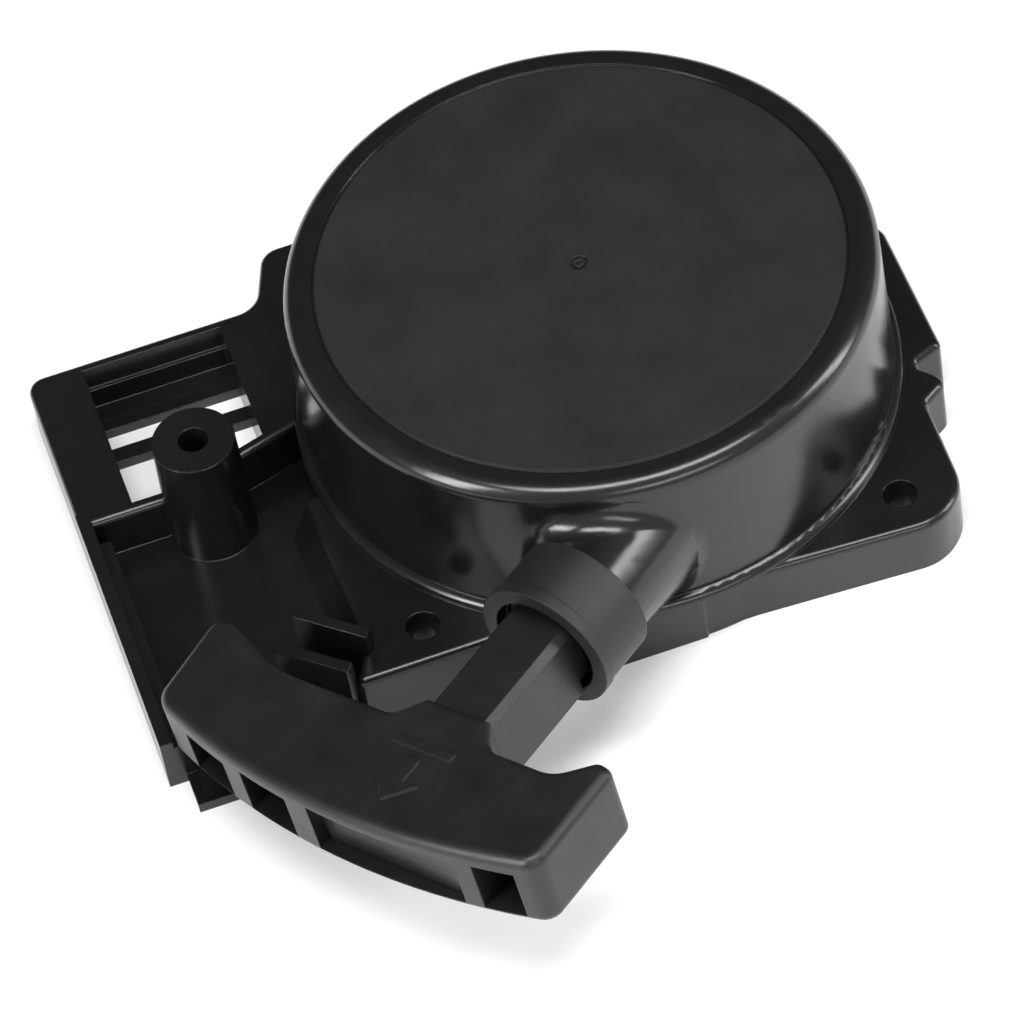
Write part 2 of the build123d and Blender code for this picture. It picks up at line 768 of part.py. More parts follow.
# ---- grip: local X along the pull, local Y across, local Z out of its broad face ----
roll = radians(grip_roll)
grip_up = Vector(0, 0, 1) * cos(roll) + aside * sin(roll)
rim_point = rope_foot + pull * collar_rim
grip_plane = Plane(origin=rim_point, x_dir=pull, z_dir=grip_up)
neck_start = -(collar_bore_depth - guide_flange_thickness) + neck_gap

with BuildSketch(grip_plane.offset(-grip_below)) as grip_outline:
    half_neck = neck_width / 2
    with BuildLine():
        far_arc = ThreePointArc(
            (grip_far - 4.6, grip_right),
            (grip_far, -4.0),
            (grip_far - 8.0, -grip_left + 1.6),
        )
        Polyline(
            far_arc @ 1,
            (grip_near - 4.2, -grip_left),
            (grip_near - 5.4, -grip_left + 4.0),
            (grip_near, -grip_left + 17.0),
            (grip_near, -half_neck - 4.0),
            (grip_near - 5.0, -half_neck),
            (grip_near - 5.0, half_neck),
            (grip_near, half_neck + 4.0),
            (grip_near, grip_right - 9.0),
            (grip_near - 5.2, grip_right - 3.4),
            (grip_near - 4.6, grip_right),
            far_arc @ 0,
        )
    make_face()
    for corner, corner_radius in (
        ((grip_far - 4.6, grip_right), 3.4),
        ((grip_far - 8.0, -grip_left + 1.6), 4.5),
        ((grip_near - 4.2, -grip_left), 2.2),
        ((grip_near - 5.4, -grip_left + 4.0), 2.2),
        ((grip_near, -grip_left + 17.0), 22.0),
        ((grip_near, -half_neck - 4.0), 3.0),
        ((grip_near, half_neck + 4.0), 3.0),
        ((grip_near, grip_right - 9.0), 6.0),
        ((grip_near - 5.2, grip_right - 3.4), 2.0),
        ((grip_near - 4.6, grip_right), 2.0),
    ):
        fillet(grip_outline.vertices().sort_by_distance(corner)[0], corner_radius)

# neck: square, deeper outside the collar, with a round plug inside it
neck_side = Plane(origin=rim_point, x_dir=pull, z_dir=-grip_plane.y_dir)
with BuildPart() as neck_form:
    with BuildSketch(neck_side):
        with BuildLine():
            Polyline(
                (neck_start, half_neck),
                (grip_near + keel_fade, half_neck),
                (grip_near + keel_fade, -grip_below + 0.6),
                (grip_near - 2.0, -keel_depth),
                (keel_start, -keel_depth),
                (keel_start, -half_neck),
                (neck_start, -half_neck),
                close=True,
            )
        make_face()
    extrude(amount=half_neck, both=True)
    chamfer(neck_form.edges().filter_by(Axis(rim_point, pull)), neck_chamfer)
    with BuildSketch(on_rope_line(collar_rim + neck_start)):
        Circle(neck_plug_radius)
    extrude(amount=-neck_start - collar_mouth_depth - neck_gap)

# pockets in the far face, as place, width and height, and the knot chamber between them
side_pockets = ((-37.0, 9.6, 8.2), (-22.5, 10.6, 9.3), (23.5, 7.4, 10.2))
chamber_centre = 2.1
chamber_width = 28.8
pocket_bottom = -(grip_below - grip_floor)
pocket_reach = 8.0
tilt = radians(grip_face_tilt)
broad_face = Plane(
    origin=rim_point + grip_up * grip_above,
    x_dir=pull,
    z_dir=grip_up * cos(tilt) - grip_plane.y_dir * sin(tilt),
)
with BuildPart() as grip:
    add(grip_outline.sketch)
    extrude(amount=grip_below + grip_above * 2, dir=grip_up)
    with BuildSketch(broad_face):
        Rectangle(grip_far * 4, grip_left * 4)
    extrude(amount=grip_above * 2, mode=Mode.SUBTRACT)
    layers = grip.faces().sort_by(Axis(rim_point, grip_up))
    fillet(layers[0].edges() + layers[-1].edges(), grip_edge_radius)
    add(neck_form.part)
    for pocket_y, pocket_width, pocket_height in side_pockets:
        pocket_back = grip_far - pocket_depth + 1.0 - pocket_y**2 / 190
        with BuildSketch(grip_plane.offset(pocket_bottom)):
            with Locations((pocket_back + (pocket_depth + pocket_reach) / 2, pocket_y)):
                Rectangle(pocket_depth + pocket_reach, pocket_width)
        extrude(amount=pocket_height, mode=Mode.SUBTRACT)
    with BuildSketch(grip_plane.offset(pocket_bottom)):
        with Locations(((knot_seat + grip_far + 1.0) / 2, chamber_centre)):
            Rectangle(grip_far + 1.0 - knot_seat, chamber_width)
    extrude(amount=chamber_height, mode=Mode.SUBTRACT)
    with BuildSketch(on_rope_line(collar_rim + neck_start)):
        Circle(rope_diameter / 2 + rope_hole_clearance)
    extrude(amount=knot_seat - neck_start + 1.0, mode=Mode.SUBTRACT)
    # generic pull mark on the broad face: a bar and an arrow
    with BuildSketch(broad_face.offset(-0.05)):
        with Locations((grip_near + 4.5, 0)):
            Rectangle(1.6, 12.0)
        with Locations((grip_near + 9.5, 0)):
            Rectangle(5.0, 2.4)
        with BuildLine():
            Polyline(
                (grip_near + 11.8, -4.2),
                (grip_near + 11.8, 4.2),
                (grip_near + 16.2, 0),
                close=True,
            )
        make_face()
    extrude(amount=arrow_relief + 0.05)
grip.part.label = "grip"

# ---- cover that closes the knot chamber, washer and knot inside it ----
with BuildPart() as grip_cover:
    with BuildSketch(grip_plane.offset(pocket_bottom + grip_cover_fit)):
        with Locations((grip_far - cover_setback - grip_cover_thickness / 2, chamber_centre)):
            Rectangle(grip_cover_thickness, chamber_width - grip_cover_fit * 2)
    extrude(amount=chamber_height - grip_cover_fit * 2)
grip_cover.part.label = "grip_cover"

knot_washer_thickness = 1.2
with BuildPart() as knot_washer:
    with BuildSketch(on_rope_line(collar_rim + knot_seat)):
        Circle(chamber_height / 2 - 0.2)
        Circle(rope_diameter / 2 + running_clearance, mode=Mode.SUBTRACT)
    extrude(amount=knot_washer_thickness)
knot_washer.part.label = "knot_washer"

knot_front = collar_rim + knot_seat + knot_washer_thickness
with BuildPart() as grip_knot:
    with BuildSketch(on_rope_line(knot_front)):
        Circle(knot_radius - 0.1)
    extrude(amount=knot_length)
    fillet(grip_knot.edges().filter_by(GeomType.CIRCLE), 1.6)
grip_knot.part.label = "grip_knot"

# ---- rope run: straight from the reel to the knot in the grip ----
with BuildPart() as rope_run:
    with BuildSketch(rope_start):
        Circle(rope_diameter / 2)
    extrude(amount=knot_front)
rope_run.part.label = "rope_run"

wound_length = sum(edge.length for edge in wound_path.edges())
wound_volume = wound_length * pi * rope_diameter**2 / 4
print(f"rope on the reel {wound_length:.0f} mm, run to the grip {knot_front:.0f} mm")
print(f"wound volume {rope_wound.part.volume:.0f} of {wound_volume:.0f} mm3")

finished = [
    housing,
    rope_guide,
    post_insert,
    thrust_washer,
    spacer_sleeve,
    retainer_washer,
    centre_screw,
    friction_spring,
    guide_plate,
    *pawls,
    pawl_pins,
    reel,
    rope_wound,
    reel_knot,
    rewind_spring,
    spring_cover,
    cover_screws,
    rope_run,
    grip,
    grip_cover,
    knot_washer,
    grip_knot,
]
os.makedirs("parts", exist_ok=True)
for piece in finished:
    export_step(piece.part, f"parts/{piece.part.label}.step")
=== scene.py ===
import json
import math

import bpy
import numpy as np
from mathutils import Matrix, Vector


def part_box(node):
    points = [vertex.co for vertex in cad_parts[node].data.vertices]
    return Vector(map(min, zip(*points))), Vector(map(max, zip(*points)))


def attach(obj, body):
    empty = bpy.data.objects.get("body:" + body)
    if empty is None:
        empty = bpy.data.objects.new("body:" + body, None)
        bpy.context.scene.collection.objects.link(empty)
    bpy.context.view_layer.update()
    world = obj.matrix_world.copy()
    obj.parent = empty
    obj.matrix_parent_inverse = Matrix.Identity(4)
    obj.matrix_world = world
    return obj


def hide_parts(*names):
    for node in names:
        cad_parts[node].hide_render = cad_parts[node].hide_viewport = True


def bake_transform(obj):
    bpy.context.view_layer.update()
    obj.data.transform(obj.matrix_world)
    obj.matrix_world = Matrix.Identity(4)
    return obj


bl_info = {
    "name": "Recoil starter",
    "version": (1, 0, 0),
    "blender": (4, 5, 0),
    "location": "3D View > Sidebar > Recoil starter",
    "description": "Finishes the recoil starter: moulded nylon, plated steel, braided cord and the studio",
    "category": "Object",
}

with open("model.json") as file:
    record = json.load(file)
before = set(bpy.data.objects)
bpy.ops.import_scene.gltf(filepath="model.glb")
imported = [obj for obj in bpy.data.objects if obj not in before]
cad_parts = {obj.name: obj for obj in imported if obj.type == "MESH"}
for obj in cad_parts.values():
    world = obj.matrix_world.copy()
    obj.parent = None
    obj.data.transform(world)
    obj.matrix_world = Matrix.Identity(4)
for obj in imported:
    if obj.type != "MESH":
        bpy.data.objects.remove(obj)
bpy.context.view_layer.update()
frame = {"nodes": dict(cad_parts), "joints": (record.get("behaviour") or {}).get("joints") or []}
MM = 0.001
UP = Vector((0, 0, 1))
NYLON_IOR = 1.53
FACE_STEP = 1.0 * MM
LINE_BLUR = 0.3 * MM


# ---- places taken from the frame ----


def joint(name):
    """The frame's joint of that name."""
    return next(j for j in frame["joints"] if j["name"] == name)


def middle(node):
    """Middle of a CAD node's box."""
    low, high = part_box(node)
    return (low + high) / 2


def top(node):
    """Highest level of a CAD node."""
    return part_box(node)[1].z


PULL = Vector(joint("handle_pull")["axis"]).normalized()
ASIDE = UP.cross(PULL).normalized()
CORD_MIDDLE = middle("rope_run")
CORD_FOOT = CORD_MIDDLE - PULL * CORD_MIDDLE.dot(PULL)
CORD_OFFSET = CORD_FOOT.dot(ASIDE)
DRUM_TOP = top("housing")


# ---- colours, shader nodes and meshes ----


def linear(hex_colour):
    """Linear RGBA of an sRGB colour written as #rrggbb."""
    channels = [int(hex_colour[i : i + 2], 16) / 255 for i in (1, 3, 5)]
    rgb = [c / 12.92 if c <= 0.04045 else ((c + 0.055) / 1.055) ** 2.4 for c in channels]
    return (*rgb, 1.0)


def add_node(tree, kind, settings=None, links=None):
    """Adds a shader node. Settings name properties or inputs, links name the socket that feeds an input."""
    node = tree.nodes.new(kind)
    for name, value in (settings or {}).items():
        if isinstance(name, int) or name in node.inputs:
            node.inputs[name].default_value = value
        else:
            setattr(node, name, value)
    for name, socket in (links or {}).items():
        tree.links.new(socket, node.inputs[name])
    return node


def new_material(name):
    """Empty node material with its output."""
    material = bpy.data.materials.new(name)
    material.use_nodes = True
    material.node_tree.nodes.clear()
    add_node(material.node_tree, "ShaderNodeOutputMaterial")
    return material, material.node_tree


def close_material(tree, shader):
    """Feeds the shader to the material's output."""
    output = next(n for n in tree.nodes if n.bl_idname == "ShaderNodeOutputMaterial")
    tree.links.new(shader.outputs[0], output.inputs["Surface"])


def paint(obj, material):
    """The object wears this material and no other."""
    obj.data.materials.clear()
    obj.data.materials.append(material)


def grid_mesh(name, points, uv=None, closed_ends=True):
    """Mesh of a grid of points, rows along and columns around. Columns close on themselves.

    Each row's last column joins its first. With closed ends, the first and last rows are drawn in to a pole.
    """
    rows, columns, _ = points.shape
    vertices = points.reshape(-1, 3)
    row, column = np.meshgrid(np.arange(rows - 1), np.arange(columns), indexing="ij")
    after = (column + 1) % columns
    quads = np.stack(
        [
            row * columns + column,
            row * columns + after,
            (row + 1) * columns + after,
            (row + 1) * columns + column,
        ],
        axis=-1,
    ).reshape(-1, 4)
    faces = quads.tolist()
    if closed_ends:
        poles = np.array([points[0].mean(0), points[-1].mean(0)])
        vertices = np.vstack([vertices, poles])
        first_pole = rows * columns
        ring = np.arange(columns)
        start_cap = np.stack([np.full(columns, first_pole), (ring + 1) % columns, ring], -1)
        last = (rows - 1) * columns
        end_cap = np.stack([np.full(columns, first_pole + 1), last + ring, last + (ring + 1) % columns], -1)
        faces += start_cap.tolist() + end_cap.tolist()
    mesh = bpy.data.meshes.new(name)
    mesh.from_pydata(vertices.tolist(), [], faces)
    if uv is not None:
        layer = mesh.uv_layers.new(name="UVMap")
        along = uv[0][row.reshape(-1)]
        beyond = uv[0][row.reshape(-1) + 1]
        left = column.reshape(-1) / columns
        right = left + 1 / columns
        corners = np.stack([along, left, along, right, beyond, right, beyond, left], -1).reshape(-1)
        values = np.zeros(len(mesh.loops) * 2)
        values[: len(corners)] = corners
        layer.data.foreach_set("uv", values)
    mesh.polygons.foreach_set("use_smooth", np.ones(len(mesh.polygons), bool))
    mesh.update()
    obj = bpy.data.objects.new(name, mesh)
    bpy.context.scene.collection.objects.link(obj)
    return obj


def braid_relief(along, around, strands, pitch):
    """Height of a diamond braid, 0 to 1.

    Two sets of strands wind opposite ways. u and v count the strands of each set. A strand's crown is a
    squared cosine across it, and it rises and falls with the strands it crosses. The higher of the two sets
    shows.
    """
    u = strands * around + along / pitch
    v = strands * around - along / pitch
    first = np.cos(np.pi * u) ** 2 * (1 + np.cos(np.pi * (v + np.round(u)))) / 2
    second = np.cos(np.pi * v) ** 2 * (1 - np.cos(np.pi * (u + np.round(v)))) / 2
    return np.maximum(first, second)


def cord_surface(name, path, radius, relief, strands, pitch, columns=40, binormal=None):
    """Braided cord along a path: a circle of the cord's radius less the braid's relief is carried along it.

    The circle stands square to the path, on the path's sideways direction and its binormal. The last two
    millimetres at each end draw in by a quarter circle.
    """
    steps = np.linalg.norm(np.diff(path, axis=0), axis=1)
    along = np.concatenate([[0], np.cumsum(steps)])
    tangent = np.gradient(path, along, axis=0)
    tangent /= np.linalg.norm(tangent, axis=1, keepdims=True)
    if binormal is None:
        binormal = np.tile(np.array(UP), (len(path), 1))
    sideways = np.cross(binormal, tangent)
    sideways /= np.linalg.norm(sideways, axis=1, keepdims=True)
    upward = np.cross(tangent, sideways)
    around = np.arange(columns) / columns
    height = braid_relief(along[:, None], around[None, :], strands, pitch)
    end = np.clip(np.minimum(along, along[-1] - along) / (radius * 0.6), 0, 1)
    taper = np.sqrt(1 - (1 - end) ** 2 * 0.9)
    size = (radius - relief * (1 - height)) * taper[:, None]
    angle = 2 * np.pi * around
    points = (
        path[:, None, :]
        + sideways[:, None, :] * (size * np.cos(angle))[:, :, None]
        + upward[:, None, :] * (size * np.sin(angle))[:, :, None]
    )
    return grid_mesh(name, points, uv=(along / MM,))


# ---- materials ----


def edge_softening(tree, radius):
    """Normal that rounds sharp edges by this radius, as a mould's edges are never quite sharp."""
    return add_node(tree, "ShaderNodeBevel", {"samples": 4, "Radius": radius})


def moulded_housing_nylon(look):
    """Glass-filled nylon, injection moulded in a polished tool with eroded patches.

    Polished walls shine and ripple slightly where the melt shrank. The drum's face inside its fine line and
    the collar are dull, with the fine pimples of spark erosion. Flow leaves faint clouds in the black.
    """
    material, tree = new_material("moulded_nylon_housing")
    place = add_node(tree, "ShaderNodeTexCoord").outputs["Object"]
    parts = add_node(tree, "ShaderNodeSeparateXYZ", links={0: place})
    flat = add_node(tree, "ShaderNodeCombineXYZ", links={0: parts.outputs[0], 1: parts.outputs[1]})
    distance = add_node(tree, "ShaderNodeVectorMath", {"operation": "LENGTH"}, {0: flat.outputs[0]})
    inside = add_node(
        tree, "ShaderNodeMapRange",
        {"From Min": look.line_radius, "From Max": look.line_radius - LINE_BLUR},
        {"Value": distance.outputs["Value"]},
    )
    raised = add_node(
        tree, "ShaderNodeMath", {"operation": "GREATER_THAN", 1: DRUM_TOP - FACE_STEP}, {0: parts.outputs[2]}
    )
    face = add_node(
        tree, "ShaderNodeMath", {"operation": "MULTIPLY"}, {0: inside.outputs[0], 1: raised.outputs[0]}
    )
    from_cord = add_node(
        tree, "ShaderNodeVectorMath", {"operation": "SUBTRACT", 1: tuple(CORD_FOOT)}, {0: place}
    )
    beside = add_node(
        tree, "ShaderNodeVectorMath",
        {"operation": "CROSS_PRODUCT", 1: tuple(PULL)},
        {0: from_cord.outputs[0]},
    )
    cord_distance = add_node(tree, "ShaderNodeVectorMath", {"operation": "LENGTH"}, {0: beside.outputs[0]})
    reach = add_node(
        tree, "ShaderNodeVectorMath", {"operation": "DOT_PRODUCT", 1: tuple(PULL)}, {0: from_cord.outputs[0]}
    )
    near_cord = add_node(
        tree, "ShaderNodeMath",
        {"operation": "LESS_THAN", 1: look.collar_radius},
        {0: cord_distance.outputs["Value"]},
    )
    past_drum = add_node(
        tree, "ShaderNodeMath",
        {"operation": "GREATER_THAN", 1: look.collar_start},
        {0: reach.outputs["Value"]},
    )
    collar = add_node(
        tree, "ShaderNodeMath", {"operation": "MULTIPLY"}, {0: near_cord.outputs[0], 1: past_drum.outputs[0]}
    )
    patch = add_node(
        tree, "ShaderNodeMath", {"operation": "MAXIMUM"}, {0: face.outputs[0], 1: collar.outputs[0]}
    )
    clouds = add_node(
        tree, "ShaderNodeTexNoise",
        {"Scale": 1 / look.cloud_size, "Detail": 4.0, "Roughness": 0.55},
        {"Vector": place},
    )
    grain = add_node(
        tree, "ShaderNodeTexNoise",
        {"Scale": 1 / look.grain_size, "Detail": 3.0, "Roughness": 0.6},
        {"Vector": place},
    )
    handling = add_node(
        tree, "ShaderNodeTexNoise",
        {"Scale": 1 / look.handling_size, "Detail": 5.0, "Roughness": 0.6},
        {"Vector": place},
    )
    colour = add_node(
        tree, "ShaderNodeMix",
        {"data_type": "RGBA", 6: linear(look.shade_colour), 7: linear(look.body_colour)},
        {0: clouds.outputs[0]},
    )
    polished = add_node(
        tree, "ShaderNodeMapRange",
        {"From Min": 0.3, "From Max": 0.75, "To Min": look.gloss - 0.02, "To Max": look.gloss + 0.06},
        {"Value": handling.outputs[0]},
    )
    eroded = add_node(
        tree, "ShaderNodeMapRange",
        {"From Min": 0.3, "From Max": 0.7, "To Min": look.dull - 0.04, "To Max": look.dull + 0.05},
        {"Value": clouds.outputs[0]},
    )
    rough = add_node(
        tree, "ShaderNodeMix", {"data_type": "FLOAT"},
        {0: patch.outputs[0], 2: polished.outputs[0], 3: eroded.outputs[0]},
    )
    pimples = add_node(
        tree, "ShaderNodeMapRange", {"To Min": 0.02, "To Max": 0.4}, {"Value": patch.outputs[0]}
    )
    rounded = edge_softening(tree, look.edge_radius)
    ripple = add_node(
        tree, "ShaderNodeBump", {"Strength": 0.18, "Distance": 0.25 * MM},
        {"Height": clouds.outputs[0], "Normal": rounded.outputs[0]},
    )
    fine = add_node(
        tree, "ShaderNodeBump", {"Distance": 0.03 * MM},
        {"Strength": pimples.outputs[0], "Height": grain.outputs[0], "Normal": ripple.outputs[0]},
    )
    shader = add_node(
        tree, "ShaderNodeBsdfPrincipled", {"IOR": NYLON_IOR},
        {"Base Color": colour.outputs[2], "Roughness": rough.outputs[0], "Normal": fine.outputs[0]},
    )
    close_material(tree, shader)
    return material


def moulded_grip_nylon(look):
    """Nylon grip, moulded in two tool halves with a fine eroded grain and a seam at half its thickness.

    The grain is satin all over, a touch shinier where hands rub, and the seam is a hair-fine ridge.
    """
    material, tree = new_material("moulded_nylon_grip")
    place = add_node(tree, "ShaderNodeTexCoord").outputs["Object"]
    roll = math.radians(look.roll)
    broad_face = (UP * math.cos(roll) + ASIDE * math.sin(roll)).normalized()
    height = add_node(
        tree, "ShaderNodeVectorMath", {"operation": "DOT_PRODUCT", 1: tuple(broad_face)}, {0: place}
    )
    level = broad_face.dot(CORD_FOOT)
    from_seam = add_node(
        tree, "ShaderNodeMath", {"operation": "SUBTRACT", 1: level}, {0: height.outputs["Value"]}
    )
    seam_distance = add_node(tree, "ShaderNodeMath", {"operation": "ABSOLUTE"}, {0: from_seam.outputs[0]})
    seam = add_node(
        tree, "ShaderNodeMapRange",
        {"From Min": 0.0, "From Max": look.seam_width, "To Min": 1.0, "To Max": 0.0},
        {"Value": seam_distance.outputs[0]},
    )
    grain = add_node(
        tree, "ShaderNodeTexNoise",
        {"Scale": 1 / look.grain_size, "Detail": 3.0, "Roughness": 0.6},
        {"Vector": place},
    )
    rubbed = add_node(
        tree, "ShaderNodeTexNoise",
        {"Scale": 1 / look.rub_size, "Detail": 4.0, "Roughness": 0.6},
        {"Vector": place},
    )
    colour = add_node(
        tree, "ShaderNodeMix",
        {"data_type": "RGBA", 6: linear(look.shade_colour), 7: linear(look.body_colour)},
        {0: rubbed.outputs[0]},
    )
    rough = add_node(
        tree, "ShaderNodeMapRange",
        {"From Min": 0.3, "From Max": 0.7, "To Min": look.satin - 0.05, "To Max": look.satin + 0.06},
        {"Value": rubbed.outputs[0]},
    )
    rounded = edge_softening(tree, look.edge_radius)
    ridge = add_node(
        tree, "ShaderNodeBump", {"Strength": 0.5, "Distance": 0.06 * MM},
        {"Height": seam.outputs[0], "Normal": rounded.outputs[0]},
    )
    fine = add_node(
        tree, "ShaderNodeBump", {"Strength": 0.35, "Distance": 0.03 * MM},
        {"Height": grain.outputs[0], "Normal": ridge.outputs[0]},
    )
    shader = add_node(
        tree, "ShaderNodeBsdfPrincipled", {"IOR": NYLON_IOR},
        {"Base Color": colour.outputs[2], "Roughness": rough.outputs[0], "Normal": fine.outputs[0]},
    )
    close_material(tree, shader)
    return material


def moulded_reel_nylon(look):
    """Natural grey nylon of the reel, moulded and left plain: satin, with turning rings of the tool."""
    material, tree = new_material("moulded_nylon_reel")
    place = add_node(tree, "ShaderNodeTexCoord").outputs["Object"]
    rings = add_node(
        tree, "ShaderNodeTexWave",
        {
            "wave_type": "RINGS", "rings_direction": "Z", "Scale": 1 / (14 * MM), "Distortion": 0.4,
            "Detail": 2.0,
        },
        {"Vector": place},
    )
    clouds = add_node(tree, "ShaderNodeTexNoise", {"Scale": 1 / (6 * MM), "Detail": 4.0}, {"Vector": place})
    colour = add_node(
        tree, "ShaderNodeMix",
        {"data_type": "RGBA", 6: linear(look.reel_shade), 7: linear(look.reel_colour)},
        {0: clouds.outputs[0]},
    )
    rough = add_node(
        tree, "ShaderNodeMapRange", {"To Min": 0.36, "To Max": 0.52}, {"Value": clouds.outputs[0]}
    )
    bump = add_node(
        tree, "ShaderNodeBump", {"Strength": 0.12, "Distance": 0.05 * MM},
        {"Height": rings.outputs["Fac"], "Normal": edge_softening(tree, 0.2 * MM).outputs[0]},
    )
    shader = add_node(
        tree, "ShaderNodeBsdfPrincipled", {"IOR": NYLON_IOR},
        {"Base Color": colour.outputs[2], "Roughness": rough.outputs[0], "Normal": bump.outputs[0]},
    )
    close_material(tree, shader)
    return material


def plated_metal(name, colour, shade, rough, speck_size, speck_depth):
    """Worked metal with a finish: colour clouds, speckle in gloss and height, and slightly broken edges."""
    material, tree = new_material(name)
    place = add_node(tree, "ShaderNodeTexCoord").outputs["Object"]
    clouds = add_node(
        tree, "ShaderNodeTexNoise",
        {"Scale": 1 / (4 * MM), "Detail": 4.0, "Roughness": 0.6},
        {"Vector": place},
    )
    specks = add_node(
        tree, "ShaderNodeTexNoise",
        {"Scale": 1 / speck_size, "Detail": 3.0, "Roughness": 0.6},
        {"Vector": place},
    )
    tint = add_node(
        tree, "ShaderNodeMix",
        {"data_type": "RGBA", 6: linear(shade), 7: linear(colour)},
        {0: clouds.outputs[0]},
    )
    gloss = add_node(
        tree, "ShaderNodeMapRange",
        {"From Min": 0.25, "From Max": 0.75, "To Min": rough - 0.08, "To Max": rough + 0.1},
        {"Value": specks.outputs[0]},
    )
    bump = add_node(
        tree, "ShaderNodeBump", {"Strength": 0.3, "Distance": speck_depth},
        {"Height": specks.outputs[0], "Normal": edge_softening(tree, 0.12 * MM).outputs[0]},
    )
    shader = add_node(
        tree, "ShaderNodeBsdfPrincipled", {"Metallic": 1.0},
        {"Base Color": tint.outputs[2], "Roughness": gloss.outputs[0], "Normal": bump.outputs[0]},
    )
    close_material(tree, shader)
    return material


